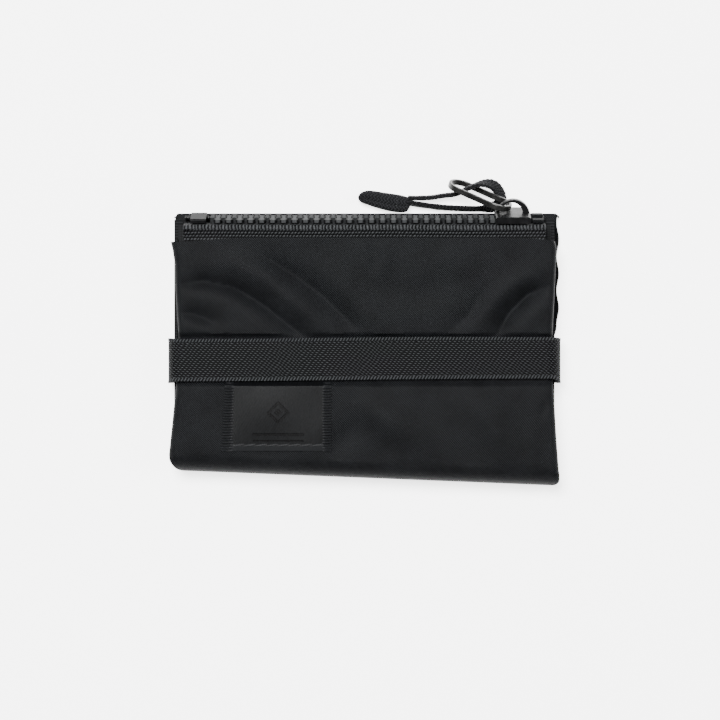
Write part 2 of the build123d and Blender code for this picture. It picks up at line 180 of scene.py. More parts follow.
# ---------------------------------------------------------------- materials
class Look:
    """A material and the few node calls that its pattern needs. Coordinates are in metres."""

    def __init__(self, name, roughness=0.6, metallic=0.0, specular=0.5, sheen=0.0, dye=DYE):
        self.dye = dye
        self.material = bpy.data.materials.new(name)
        self.material.use_nodes = True
        self.tree = self.material.node_tree
        self.shader = self.tree.nodes["Principled BSDF"]
        self.shader.inputs["Roughness"].default_value = roughness
        self.shader.inputs["Metallic"].default_value = metallic
        self.shader.inputs["Specular IOR Level"].default_value = specular
        self.shader.inputs["Sheen Weight"].default_value = sheen
        self.shader.inputs["Sheen Roughness"].default_value = 0.45

    def link(self, value, socket):
        if isinstance(value, bpy.types.NodeSocket):
            self.tree.links.new(value, socket)
        else:
            socket.default_value = value

    def math(self, operation, *values):
        node = self.tree.nodes.new("ShaderNodeMath")
        node.operation = operation
        for value, socket in zip(values, node.inputs):
            self.link(value, socket)
        return node.outputs[0]

    def place(self, kind="UV"):
        """The coordinates' vector and its three parts."""
        source = self.tree.nodes.new("ShaderNodeTexCoord").outputs[kind]
        split = self.tree.nodes.new("ShaderNodeSeparateXYZ")
        self.tree.links.new(source, split.inputs[0])
        return source, split.outputs[0], split.outputs[1], split.outputs[2]

    def wave(self, value, period_mm, phase=0.0):
        """A sine from 0 to 1 along a length in metres."""
        turns = self.math("MULTIPLY", value, 2 * math.pi / (period_mm * MM))
        swing = self.math("SINE", self.math("ADD", turns, phase))
        return self.math("MULTIPLY_ADD", swing, 0.5, 0.5)

    def slant(self, u, v, slope):
        return self.math("MULTIPLY_ADD", v, slope, u)

    def noise(self, vector, size_mm, detail=3.0):
        node = self.tree.nodes.new("ShaderNodeTexNoise")
        node.inputs["Scale"].default_value = 1 / (size_mm * MM)
        node.inputs["Detail"].default_value = detail
        self.tree.links.new(vector, node.inputs["Vector"])
        return node.outputs["Fac"]

    def ramp(self, value, low, high):
        """0 to 1 between two values, smoothly."""
        node = self.tree.nodes.new("ShaderNodeMapRange")
        node.interpolation_type = "SMOOTHSTEP"
        node.inputs["From Min"].default_value = low
        node.inputs["From Max"].default_value = high
        self.link(value, node.inputs["Value"])
        return node.outputs["Result"]

    def colour(self, dark, light, factor):
        node = self.tree.nodes.new("ShaderNodeMix")
        node.data_type = "RGBA"
        node.inputs["A"].default_value = (*[value * self.dye for value in dark], 1)
        node.inputs["B"].default_value = (*[value * self.dye for value in light], 1)
        self.link(factor, node.inputs["Factor"])
        self.tree.links.new(node.outputs["Result"], self.shader.inputs["Base Color"])

    def rough(self, low, high, factor):
        value = self.math("MULTIPLY_ADD", factor, high - low, low)
        self.tree.links.new(value, self.shader.inputs["Roughness"])

    def bump(self, height, depth_mm, strength=1.0):
        node = self.tree.nodes.new("ShaderNodeBump")
        node.inputs["Distance"].default_value = depth_mm * MM
        node.inputs["Strength"].default_value = strength
        self.tree.links.new(height, node.inputs["Height"])
        self.tree.links.new(node.outputs["Normal"], self.shader.inputs["Normal"])


def nylon_cloth():
    """Dense nylon satin with a fine slanting dotted weave, a soft sheen and faint cloudiness."""
    look = Look("nylon_cloth", specular=0.035)
    vector, u, v, _ = look.place()
    twill = look.wave(look.slant(u, v, 1.0), 0.68)
    cross = look.wave(look.slant(u, v, -1.2), 0.74)
    weave = look.math("MULTIPLY", look.ramp(twill, 0.25, 0.8), look.math("MULTIPLY_ADD", cross, 0.65, 0.35))
    cloud = look.noise(vector, 9.0)
    lint = look.ramp(look.noise(vector, 0.9, 1.0), 0.74, 0.82)
    tone = look.math("MULTIPLY", weave, look.math("MULTIPLY_ADD", cloud, 1.3, 0.35))
    tone = look.math("ADD", tone, look.math("MULTIPLY", lint, 0.7))
    look.colour((0.0004, 0.00045, 0.0006), (0.034, 0.0368, 0.0408), tone)
    look.rough(0.46, 0.58, cloud)
    look.bump(look.math("MULTIPLY_ADD", cloud, 0.5, weave), 0.09)
    return look.material


def lining_cloth():
    """Thin plain-woven lining."""
    look = Look("lining_cloth", specular=0.05, sheen=0.005)
    vector, x, y, z = look.place("Object")
    weave = look.math("MULTIPLY", look.wave(x, 0.5), look.wave(look.math("ADD", y, z), 0.5))
    look.colour((0.004, 0.0042, 0.0045), (0.040, 0.042, 0.045), weave)
    look.rough(0.55, 0.75, look.noise(vector, 5.0))
    look.bump(weave, 0.03)
    return look.material


def grosgrain():
    """Ribbon with close ribs across its length."""
    look = Look("grosgrain", specular=0.04, sheen=0.005)
    vector, x, y, z = look.place("Object")
    rib = look.wave(look.math("ADD", y, look.math("MULTIPLY", z, 0.15)), 0.85)
    fuzz = look.noise(vector, 0.35, 2.0)
    tone = look.math("MULTIPLY_ADD", fuzz, 0.4, look.math("MULTIPLY", rib, 0.6))
    look.colour((0.0008, 0.0008, 0.001), (0.034, 0.0355, 0.038), tone)
    look.rough(0.6, 0.8, fuzz)
    look.bump(rib, 0.12)
    return look.material


def band_webbing():
    """Elastic webbing: broken dashes in staggered rows that run down to the right, looped selvages."""
    look = Look("band_webbing", specular=0.04, sheen=0.005)
    vector, u, v, _ = look.place()
    stray = look.math("MULTIPLY_ADD", look.noise(vector, 3.0, 1.0), 1.2 * MM, u)
    row = look.wave(v, 0.62)
    dash = look.wave(look.slant(stray, v, -1.35), 1.3)
    yarn = look.math("MULTIPLY", look.ramp(row, 0.1, 0.75), look.ramp(dash, 0.2, 0.85))
    half = (band_high[1] - band_low[1]) / 2 * MM
    edge = look.ramp(look.math("ABSOLUTE", v), half - 1.25 * MM, half - 0.85 * MM)
    loops = look.math("POWER", look.wave(look.slant(u, v, 0.5), 0.94), 1.2)
    inner = look.math("MULTIPLY", yarn, look.math("SUBTRACT", 1.0, edge))
    height = look.math("ADD", inner, look.math("MULTIPLY", loops, edge))
    fuzz = look.noise(vector, 0.4, 2.0)
    tone = look.math("MULTIPLY", height, look.math("MULTIPLY_ADD", fuzz, 0.8, 0.45))
    look.colour((0.0005, 0.0005, 0.0006), (0.085, 0.090, 0.095), tone)
    look.rough(0.5, 0.7, fuzz)
    look.bump(height, 0.22)
    return look.material


def label_satin():
    """Woven satin label: fine warp lines, and a woven motif of nested diamonds over two bars."""
    look = Look("label_satin", specular=0.06, sheen=0.005)
    vector, u, v, _ = look.place()
    warp = look.wave(look.slant(u, v, 0.35), 0.46)
    diamond = look.math("ADD", look.math("ABSOLUTE", u), look.math("ABSOLUTE", v))
    rings = look.math("MULTIPLY", look.ramp(look.wave(diamond, 2.3), 0.55, 0.75),
                      look.math("SUBTRACT", 1.0, look.ramp(diamond, 4.6 * MM, 4.7 * MM)))
    below = look.math("ADD", v, 6.9 * MM)
    bars = look.math("MULTIPLY", look.ramp(look.wave(below, 2.0), 0.72, 0.86),
                     look.math("SUBTRACT", 1.0, look.ramp(look.math("ABSOLUTE", below), 1.5 * MM, 1.6 * MM)))
    bars = look.math("MULTIPLY", bars, look.math("SUBTRACT", 1.0,
                     look.ramp(look.math("ABSOLUTE", u), 7.4 * MM, 7.5 * MM)))
    motif = look.math("MAXIMUM", rings, bars)
    # Painted highlight: the strip at the label's lower end, the turned-under hem, is made lighter.
    hem = look.math("SUBTRACT", 1.0, look.ramp(v, -9.9 * MM, -9.6 * MM))
    border = look.ramp(look.math("ABSOLUTE", u), 13.0 * MM, 13.2 * MM)
    # The rib stripes are lighter on each raised rib and darker in each groove, in step with the ribs of the
    # label's shape: painted highlight and painted shade over the ribbed weave.
    ribs = look.math("MULTIPLY", border, look.wave(v, 0.8, math.pi / 2))
    cloud = look.noise(vector, 2.0)
    tone = look.math("MULTIPLY_ADD", warp, 0.35, look.math("MULTIPLY", cloud, 0.5))
    tone = look.math("SUBTRACT", tone, look.math("MULTIPLY", motif, 0.55))
    tone = look.math("MULTIPLY_ADD", hem, 0.9, tone)
    tone = look.math("ADD", look.math("SUBTRACT", tone, look.math("MULTIPLY", border, 0.6)),
                     look.math("MULTIPLY", ribs, 4.4))
    look.colour((0.0006, 0.00065, 0.0008), (0.0100, 0.0110, 0.0126), tone)
    look.rough(0.36, 0.52, cloud)
    look.bump(look.math("SUBTRACT", look.math("MULTIPLY", warp, 0.3), motif), 0.09)
    return look.material


def yarn(name, dark, light, pitch, depth):
    """Twisted or braided yarn; u runs along the piece and v runs round it."""
    look = Look(name, specular=0.04, sheen=0.005)
    vector, u, v, _ = look.place()
    one = look.wave(look.slant(u, v, 0.9), pitch)
    other = look.wave(look.slant(u, v, -0.9), pitch)
    braid = look.math("MAXIMUM", look.math("MULTIPLY", one, look.wave(v, pitch * 0.8)),
                      look.math("MULTIPLY", other, look.wave(v, pitch * 0.8, math.pi)))
    fuzz = look.noise(vector, 0.3, 2.0)
    look.colour(dark, light, look.math("MULTIPLY_ADD", fuzz, 0.3, look.math("MULTIPLY", braid, 0.8)))
    look.rough(0.55, 0.8, fuzz)
    look.bump(braid, depth)
    return look.material


def tape_weave(name, kind):
    """Zip tape: a row of light oval loops beside the teeth, and an open dotted weave beyond it."""
    look = Look(name, specular=0.04, sheen=0.005)
    vector, u, v, _ = look.place(kind)
    stray = look.math("MULTIPLY_ADD", look.noise(vector, 1.6, 1.0), 0.7 * MM, u)
    loops = look.math("POWER", look.wave(stray, 0.98), 1.3)
    loops = look.math("MULTIPLY", loops, look.ramp(look.wave(v, 2.4, 2.49), 0.05, 0.5))
    dots = look.math("MULTIPLY", look.wave(look.slant(stray, v, 0.6), 0.98), look.wave(v, 0.95, 0.8))
    if kind == "UV":
        zone = look.math("SUBTRACT", look.ramp(v, 0.9 * MM, 1.3 * MM), look.ramp(v, 2.7 * MM, 3.1 * MM))
    else:
        zone = 0.0
    weave = look.math("ADD", look.math("MULTIPLY", loops, zone),
                      look.math("MULTIPLY", dots, look.math("SUBTRACT", 1.0, zone)))
    fuzz = look.noise(vector, 0.4, 2.0)
    tone = look.math("MULTIPLY", weave, look.math("MULTIPLY_ADD", fuzz, 1.1, 0.35))
    light = (0.105, 0.110, 0.116) if kind == "UV" else (0.03, 0.031, 0.033)
    look.colour((0.0005, 0.0005, 0.0006), light, tone)
    look.rough(0.5, 0.75, fuzz)
    look.bump(weave, 0.16)
    return look.material


def moulded(name, dark, light, roughness):
    """Moulded acetal with a faint flow texture and rubbed patches."""
    look = Look(name, roughness=roughness, specular=0.02)
    vector, x, y, z = look.place("Object")
    grain = look.noise(vector, 0.5)
    rubbed = look.ramp(look.noise(vector, 2.2, 1.0), 0.45, 0.7)
    look.colour(dark, light, look.math("MULTIPLY_ADD", grain, 0.5, look.math("MULTIPLY", rubbed, 0.3)))
    look.rough(roughness - 0.08, roughness + 0.12, grain)
    look.bump(grain, 0.01)
    return look.material


def tooth_row_painted_light(node, light):
    """Moulded teeth, with a painted highlight on every tooth head and painted shade down in the gaps between
    them.
    """
    look = Look(node, roughness=0.5, specular=0.02)
    vector, x, y, z = look.place("Object")
    grain = look.noise(vector, 0.5)
    low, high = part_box(node)
    middle_tooth = (low[0] + high[0]) / 2
    turn = math.pi / 2 - 2 * math.pi * middle_tooth / (TOOTH_PITCH * MM)
    # Painted highlight on each tooth's head, falling off to painted shade in the gaps between the teeth.
    crown = look.ramp(look.wave(x, TOOTH_PITCH, turn), 0.42, 0.85)
    tone = look.math("MULTIPLY", crown, look.math("MULTIPLY_ADD", grain, 0.9, 0.45))
    look.colour((0.001, 0.001, 0.0012), light, tone)
    look.rough(0.42, 0.62, grain)
    look.bump(grain, 0.01)
    return look.material


def enamel(name, dark, light, roughness, metallic):
    """Dark plated or enamelled metal with fine scratches and rubbed patches."""
    look = Look(name, roughness=roughness, metallic=metallic, specular=0.15)
    vector, x, y, z = look.place("Object")
    grain = look.noise(vector, 0.8)
    scratch = look.noise(vector, 0.12, 2.0)
    rubbed = look.ramp(look.noise(vector, 2.0, 1.0), 0.45, 0.7)
    look.colour(dark, light, look.math("MULTIPLY_ADD", rubbed, 0.25, look.math("MULTIPLY", grain, 0.45)))
    look.rough(roughness - 0.06, roughness + 0.14, grain)
    look.bump(scratch, 0.006)
    return look.material


LOOKS = {
    "shell_cloth": nylon_cloth(),
    "lining_cloth": lining_cloth(),
    "grosgrain": grosgrain(),
    "elastic": band_webbing(),
    "label_satin": label_satin(),
    "thread": yarn("thread", (0.01, 0.01, 0.011), (0.085, 0.088, 0.092), 0.5, 0.05),
    "zip_tape": tape_weave("zip_tape", "UV"),
    "zip_plastic": moulded("zip_plastic", (0.003, 0.003, 0.0035), (0.040, 0.042, 0.044), 0.5),
    "stop_plastic": moulded("stop_plastic", (0.003, 0.003, 0.0035), (0.026, 0.0265, 0.028), 0.34),
    "slider_metal": enamel("slider_metal", (0.003, 0.003, 0.0035), (0.024, 0.024, 0.026), 0.38, 0.1),
    "ring_metal": enamel("ring_metal", (0.012, 0.012, 0.013), (0.22, 0.22, 0.215), 0.30, 0.8),
    "lace": yarn("lace", (0.0005, 0.0005, 0.0006), (0.052, 0.053, 0.058), 1.0, 0.3),
}


def dress_cad_pieces():
    """Put each CAD piece's material in its slot."""
    tape = tape_weave("zip_tape_by_place", "Object")
    by_node = {
        "zip_tape_front": tape,
        "zip_tape_rear": tape,
        # Same plastic in both rows: the front row's lighter colour is painted light and the rear row's
        # darker colour is painted shade.
        "teeth_front": tooth_row_painted_light("teeth_front", (0.085, 0.088, 0.091)),
        "teeth_rear": tooth_row_painted_light("teeth_rear", (0.045, 0.047, 0.049)),
    }
    for part in frame["record"]["subparts"]:
        slot = part["material_slot"]
        chosen = by_node.get(part["node"]) or LOOKS[slot]
        node = frame["nodes"][part["node"]]
        node.data.materials.clear()
        node.data.materials.append(chosen)


dress_cad_pieces()


# ---------------------------------------------------------------- camera and light
def set_camera():
    camera = bpy.data.objects.new("camera", bpy.data.cameras.new("camera"))
    bpy.context.collection.objects.link(camera)
    camera.data.lens = CAMERA_LENS
    camera.data.sensor_width = 36
    camera.location = [value * MM for value in CAMERA_PLACE]
    bpy.context.scene.camera = camera


def area_light(name, place, size, power, target=(0, 0, 0)):
    lamp = bpy.data.lights.new(name, "AREA")
    lamp.shape = "RECTANGLE"
    lamp.size, lamp.size_y = size
    lamp.energy = power
    obj = bpy.data.objects.new(name, lamp)
    bpy.context.collection.objects.link(obj)
    obj.location = place
    away = Vector(target) - Vector(place)
    obj.rotation_euler = away.to_track_quat("-Z", "Y").to_euler()


def set_light():
    world = bpy.data.worlds.new("studio")
    world.use_nodes = True
    world.node_tree.nodes["Background"].inputs["Color"].default_value = (1, 1, 1, 1)
    world.node_tree.nodes["Background"].inputs["Strength"].default_value = 0.20
    bpy.context.scene.world = world
    area_light("key", (-0.22, 0.42, 1.30), (0.55, 0.55), 74.0)
    area_light("side", (0.90, 0.10, 0.80), (0.6, 0.6), 8.0)


def lay_floor():
    """A plain pale floor, bright enough to read as white."""
    rows = np.linspace(-FLOOR_REACH, FLOOR_REACH, 13)
    x, y = np.meshgrid(rows, rows, indexing="ij")
    grid = np.stack([x, y, np.full_like(x, FLOOR_LEVEL)], axis=2)
    look = Look("pale_floor", roughness=0.9, specular=0.1, dye=1.0)
    vector, u, v, _ = look.place()
    look.colour((0.93, 0.93, 0.93), (0.95, 0.95, 0.95), look.noise(vector, 60.0))
    look.shader.inputs["Emission Color"].default_value = (1, 1, 1, 1)
    look.shader.inputs["Emission Strength"].default_value = FLOOR_GLOW
    floor = sheet_object("floor", grid, 1.0, grid[:, :, :2], look.material)


set_camera()
set_light()
lay_floor()

# ---------------------------------------------------------------- lace, tab and its stitches
# The lace's route from the tab through the ring, round the ring's lower side, and back to the tab.
LACE_ROUTE = [
    (13.0, 43.6, 2.1), (19.0, 43.5, 2.1), (23.3, 44.3, 2.5), (27.3, 44.6, 2.2),
    (31.1, 46.4, 6.2), (34.8, 47.7, 6.0), (39.0, 47.4, 3.6), (41.2, 43.2, 1.7),
    (39.2, 40.9, 1.8), (34.0, 40.3, 2.1), (27.6, 40.5, 2.1), (20.0, 41.0, 2.1), (13.0, 42.2, 2.1),
]


def spline_points(name, route, per_span=10):
    """Points along the smooth spline whose control points are the route."""
    curve = bpy.data.curves.new(name, "CURVE")
    curve.dimensions = "3D"
    curve.resolution_u = per_span
    spline = curve.splines.new("NURBS")
    spline.points.add(len(route) - 1)
    for point, place in zip(spline.points, route):
        point.co = (*[value * MM for value in place], 1)
    spline.order_u = 3
    spline.use_endpoint_u = True
    obj = bpy.data.objects.new(name, curve)
    bpy.context.collection.objects.link(obj)
    mesh = bpy.data.meshes.new_from_object(obj)
    points = np.array([vertex.co for vertex in mesh.vertices]) / MM
    bpy.data.objects.remove(obj)
    return points


def lace_loop(tab, stitches):
    """A flat woven lace that stands on its edge along both strands and lies flat round the bight."""
    line = spline_points("lace_route", LACE_ROUTE)
    run = arc_lengths(line)
    share = run / run[-1]
    forward = np.gradient(line, axis=0)
    forward /= np.linalg.norm(forward, axis=1, keepdims=True)
    level = np.cross(forward, (0, 0, 1))
    level /= np.linalg.norm(level, axis=1, keepdims=True)
    upright = np.cross(level, forward)
    lean = 0.16 + 1.05 * smooth(share, 0.33, 0.46) * (1 - smooth(share, 0.56, 0.66))
    wide = upright * np.cos(lean)[:, None] + level * np.sin(lean)[:, None]
    thin = np.cross(forward, wide)
    turn = np.linspace(0, 2 * np.pi, 20, endpoint=False)
    across = np.sign(np.cos(turn)) * np.abs(np.cos(turn)) ** 0.8 * LACE_WIDTH / 2
    depth = np.sign(np.sin(turn)) * np.abs(np.sin(turn)) ** 0.6 * LACE_THICK / 2
    ripple = 1 + 0.06 * np.sin(2 * np.pi * run / 1.15)
    rings = (line[:, None] + (wide[:, None] * across[None, :, None]
             + thin[:, None] * depth[None, :, None]) * ripple[:, None, None])
    around = np.concatenate([[0], np.cumsum(np.hypot(np.diff(across), np.diff(depth)))])
    uv = np.stack(np.broadcast_arrays(run[:, None], around[None, :]), axis=2)
    lace = tube_object("lace_loop", rings, uv, LOOKS["lace"])
    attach(lace, "lace_pull")
    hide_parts("pull_cord")
    print("lace length mm:", round(run[-1], 1))
    return lace


def tab_outline(x):
    """The folded tab's near and far edges in plan."""
    stations = (-1.9, -1.5, -0.6, 1.0, 2.6, 5.0, 7.0, 9.2, 11.4, 12.6, 13.2, 13.8)
    far = (43.9, 44.8, 45.5, 45.9, 45.8, 45.4, 45.1, 44.8, 44.4, 44.0, 43.8, 43.5)
    near = (43.6, 42.7, 42.1, 41.6, 41.0, 40.3, 39.8, 39.4, 39.3, 39.5, 40.2, 41.6)
    return np.interp(x, stations, near), np.interp(x, stations, far)


def lace_tab():
    """The lace's two ends folded together, with a crease between the folds."""
    x = np.concatenate([[-1.9, -1.75], np.linspace(-1.5, 13.2, 50), [13.5, 13.8]])
    near, far = tab_outline(x)
    for _ in range(2):
        near[1:-1] = (near[:-2] + 2 * near[1:-1] + near[2:]) / 4
        far[1:-1] = (far[:-2] + 2 * far[1:-1] + far[2:]) / 4
    turn = np.linspace(0, 2 * np.pi, 36, endpoint=False)
    side = np.sign(np.cos(turn)) * np.abs(np.cos(turn)) ** 0.75
    rise = np.sign(np.sin(turn)) * np.abs(np.sin(turn)) ** 0.65
    half = (far - near) / 2
    height = 1.55 * np.minimum(1, half / 1.6) ** 0.5
    crease = 0.30 * np.exp(-((side + 0.25) / 0.14) ** 2) * (rise > 0)
    y = (near + far)[:, None] / 2 + half[:, None] * side[None, :]
    z = 1.7 + height[:, None] * (rise - crease)[None, :] + 0.1 * np.sin(x * 2.1)[:, None] * (rise > 0)
    rings = np.stack([np.broadcast_to(x[:, None], y.shape), y, z], axis=2)
    loop = np.concatenate([rings[len(x) // 2], rings[len(x) // 2, :1]])
    around = arc_lengths(loop)[:-1]
    uv = np.stack(np.broadcast_arrays(x[:, None], around[None, :]), axis=2)
    tab = tube_object("lace_tab", rings[:, ::-1], uv[:, ::-1], LOOKS["lace"])
    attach(tab, "lace_pull")
    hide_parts("pull_tab")
    return tab


def stitch_rings(start, end, radius, rise):
    """Rings of a thread that comes up at start, bows over, and goes down at end."""
    t = np.linspace(0, 1, 9)
    line = start + (end - start) * t[:, None]
    line[:, 2] += rise * np.sin(np.pi * t)
    thick = radius * np.sin(np.pi * np.clip(t, 0.06, 0.94)) ** 0.35
    forward = np.gradient(line, axis=0)
    forward /= np.linalg.norm(forward, axis=1, keepdims=True)
    side = np.cross(forward, (0, 0, 1))
    side /= np.linalg.norm(side, axis=1, keepdims=True)
    up = np.cross(side, forward)
    turn = np.linspace(0, 2 * np.pi, 10, endpoint=False)
    ring = side[:, None] * np.cos(turn)[None, :, None] + up[:, None] * np.sin(turn)[None, :, None]
    return line[:, None] + ring * thick[:, None, None]


def stitch_row(name, spans, radius, rise, body, node):
    """Many stitches as one piece, each a closed thread of its own."""
    verts, faces, uv = [], [], []
    for start, end in spans:
        rings = stitch_rings(np.array(start, float), np.array(end, float), radius, rise)
        count, sides = rings.shape[:2]
        index = np.arange(count * sides).reshape(count, sides) + len(verts) * count * sides
        around = np.concatenate([index, index[:, :1]], axis=1)
        quads = np.stack([around[:-1, :-1], around[:-1, 1:], around[1:, 1:], around[1:, :-1]], axis=2)
        faces += quads.reshape(-1, 4).tolist() + [index[0, ::-1].tolist(), index[-1].tolist()]
        run = arc_lengths(rings.mean(axis=1))
        girth = np.linspace(0, 2 * np.pi * radius, sides)
        uv.append(np.stack(np.broadcast_arrays(run[:, None], girth[None, :]), axis=2).reshape(-1, 2))
        verts.append(rings.reshape(-1, 3))
    piece = new_object(name, np.concatenate(verts), faces, np.concatenate(uv), LOOKS["thread"])
    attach(piece, body)
    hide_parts(node)
    return piece


def tab_thread():
    """The row of stitches that holds the tab's folds together."""
    spans = [((9.4, y, 3.15), (9.9, y + 0.55, 3.15)) for y in (40.9, 41.7, 42.5, 43.3)]
    return stitch_row("tab_thread", spans, TAB_STITCH, 0.12, "lace_pull", "tab_stitches")


lace_loop(lace_tab(), tab_thread())


# ---------------------------------------------------------------- outer cloth
BAND_LOW = band_low[1]
BAND_HIGH = band_high[1]


def crease(x, y, route, width, height, sharp=False):
    """A ridge (or a valley, if height is negative) along a route, fading at both ends.

    A sharp one comes to an edge along its middle, and the others are rounded."""
    route = np.array(route, float)
    steps = np.linspace(0, len(route) - 1, 60)
    line = np.stack([np.interp(steps, range(len(route)), route[:, k]) for k in (0, 1)], axis=1)
    for _ in range(6):
        line[1:-1] = (line[:-2] + 2 * line[1:-1] + line[2:]) / 4
    fade = np.sin(np.pi * np.linspace(0.08, 0.92, len(line))) ** 0.7
    best = np.zeros_like(x)
    for (px, py), f in zip(line, fade):
        away = np.sqrt((x - px) ** 2 + (y - py) ** 2 + 0.04) / width
        near = np.exp(-away) if sharp else np.exp(-away ** 2 / 2)
        best = np.maximum(best, near * f)
    return best * height


# Each crease of the front cloth: its route, width, height and whether it comes to a sharp edge.
CREASES = [
    ([(-54, 17.6), (-46.8, 18.6), (-38.7, 17.0), (-30.7, 12.2), (-22, 5.5), (-17, 1.5)], 2.3, -3.3, True),
    ([(4, 17), (16, 15), (28, 19)], 3.5, -0.6, False),
    ([(-50, 14.8), (-42, 14.6), (-34, 10.8), (-26.5, 4.5)], 2.6, 0.4, False),
    ([(-40, 24), (-30, 20), (-20, 12), (-10, 4)], 2.6, 0.8, False),
    ([(-30, 26), (-20, 20), (-12, 14), (-3, 5)], 3.6, -2.0, True),
    ([(-12, 22), (-3, 12), (6, 4)], 3.0, 0.3, False),
    ([(-55, 9.2), (-50, 8.9), (-45, 7.0)], 1.9, -2.0, True),
    ([(-53, 5.6), (-48.5, 5.2), (-44, 3.6)], 1.5, 0.7, False),
    ([(38.5, 2.5), (42.5, 9.3), (47.8, 14.6), (55, 17.4)], 2.2, -3.0, True),
    ([(33, 5), (38.5, 12.5), (45, 18.5), (54, 22)], 2.0, 0.7, False),
    ([(45, 4), (49, 8.6), (55, 12)], 1.8, 0.4, False),
    ([(24, 3.5), (30, 8), (35, 16)], 2.8, -0.8, True),
    ([(2.5, 29), (3.6, 26), (2.6, 22)], 1.4, -0.3, False),
    ([(5, 29), (6.2, 25), (5.5, 20)], 1.6, 0.22, False),
    ([(26, 28), (30, 22), (33, 17)], 2.2, 0.28, False),
    ([(2, -19), (10, -23), (17, -27)], 3.0, 0.9, False),
    ([(-9, -30), (-5, -26), (-1, -22)], 2.6, -0.8, False),
    ([(51.5, -20), (54.5, -15.5)], 0.8, -0.4, False),
    ([(30, -16), (38, -22), (44, -30)], 3.4, 0.6, False),
]


def face_relief(x, y):
    """How far the front cloth stands above or below its plain level."""
    relief = np.zeros_like(x)
    for route, width, height, sharp in CREASES:
        relief += crease(x, y, route, width, height, sharp)
    relief += 0.10 * np.sin(x * 0.21 + 1.3) * np.sin(y * 0.27 + 0.4)
    return relief


def band_dip(y, shift=0.0):
    """1 under the band and 0 away from it, with the cloth rolling over beside it."""
    low, high = BAND_LOW + shift, BAND_HIGH + shift
    return smooth(y, low - 1.6, low + 0.2) * (1 - smooth(y, high - 0.3, high + 0.9))


DIP = 1.4
FRONT_SHIFT = 0.55     # the band sits a little higher on the front than on the back
EDGE_LINE_Y = (31.2, 29.0, 24.0, 15.0, 3.0, -12.0, -24.0, -33.0, -40.0)
LEFT_EDGE = (56.8, 56.3, 55.6, 55.4, 54.6, 55.3, 56.4, 57.3, 57.5)
RIGHT_EDGE = (55.9, 56.4, 56.2, 55.8, 55.2, 55.4, 56.2, 57.0, 57.2)
FRONT_SIDE = 5.5       # how deep the cloth turns in along the sides: front, back and fold
REAR_SIDE = 1.7
FOLD_SIDE = 0.9
FRONT_ROUND = 1.9
REAR_ROUND = 0.8
LEFT_CORNER = 3.2      # rounding of the two lower corners, in plan
RIGHT_CORNER = 1.4


def face_height(x, y):
    """Height of the front cloth's outer face over its plan, without the side rounding."""
    crown = 0.30 * np.sin(np.pi * np.clip((y - BAND_HIGH) / (HEM_Y - BAND_HIGH), 0, 1))
    crown += 0.25 * np.sin(np.pi * np.clip((BAND_LOW - y) / (BAND_LOW - FOLD_Y), 0, 1))
    under = band_dip(y, FRONT_SHIFT)
    at_hem = 1 - 0.75 * smooth(y, HEM_Y - 3.0, HEM_Y)
    sides = 1 - 0.6 * smooth(np.abs(x), 49, 55)
    return TOP - 0.15 - DIP * under + (crown + face_relief(x, y)) * (1 - under) * at_hem * sides


def edge_shift(x, y):
    """The lower edge runs down towards the right, and the hem drops a little at both ends."""
    sag = -1.2 * smooth(-x, 34, 56) - 1.0 * smooth(x, 46, 57)
    return bottom_slope(x, y) + sag * smooth(y, 18, HEM_Y)


FOLD_TURN = FOLD_Y + 1.6
FOLD_LOW = FOLD_Y - 4.0
REAR_TOP = rear_high[1] + 1.1


def outer_profile():
    """The cloth's section from the hem, down the front, round the fold and up the back.

    Each row is y, z, the inward direction, and the amounts of front, fold and back in it."""
    rows = []
    middle = (fold_low[2] + fold_high[2]) / 2
    reach = middle - 0.08
    for y in np.linspace(HEM_Y, FOLD_TURN, 108):
        rows.append((y, None, 0, -1, 1, 0))
    for angle in np.linspace(90, 270, 30)[1:-1]:
        a = math.radians(angle)
        y = FOLD_TURN + (FOLD_TURN - FOLD_LOW) * math.cos(a)
        front = 1.0 if angle < 110 else max(0.0, 1 - (angle - 90) / 60)
        rows.append((y, middle + reach * math.sin(a), -math.cos(a), -math.sin(a), front, 0))
    for y in np.linspace(FOLD_TURN, REAR_TOP - 0.9, 68):
        rows.append((y, 0.08, 0, 1, 0, 1))
    for angle in np.linspace(-80, 90, 9):
        a = math.radians(angle)
        y, z = REAR_TOP - 0.9 + 0.9 * math.cos(a), 0.98 + 0.9 * math.sin(a)
        rows.append((y, z, -math.cos(a), -math.sin(a), 0, 1 - (angle + 80) / 170))
    rows.append((REAR_TOP - 3.0, 1.88, 0, -1, 0, 0))
    return rows


def bottom_slope(x, y):
    """How far the lower part is shifted, as its edge runs down towards the right."""
    return (-0.040 * x - 1.15) * (1 - smooth(y, FOLD_Y, BAND_LOW - 1))


def corner_turn(y, radius):
    """How far a rounded lower corner of the cloth draws in at a height."""
    into = max(0.0, radius - (y - FOLD_LOW))
    return radius - math.sqrt(radius ** 2 - into ** 2)


def edge_walk(share, half, radius, wall):
    """(distance from the middle, depth) at a share of the way from the middle to a side's end."""
    bend = math.acos(max(-1.0, 1 - min(wall, radius) / radius)) if wall < radius else math.pi / 2
    flat, arc = half - radius, radius * bend
    down = max(0.0, wall - radius)
    at = share * (flat + arc + down)
    angle = np.clip((at - flat) / radius, 0, bend)
    out = np.minimum(at, flat) + radius * np.sin(angle)
    depth = radius * (1 - np.cos(angle)) + np.clip(at - flat - arc, 0, None)
    return out, depth, at


def edge_line(y, widths):
    """A side's distance from the middle at a height; the stations run from the hem downwards."""
    return np.interp(-y, [-station for station in EDGE_LINE_Y], widths)


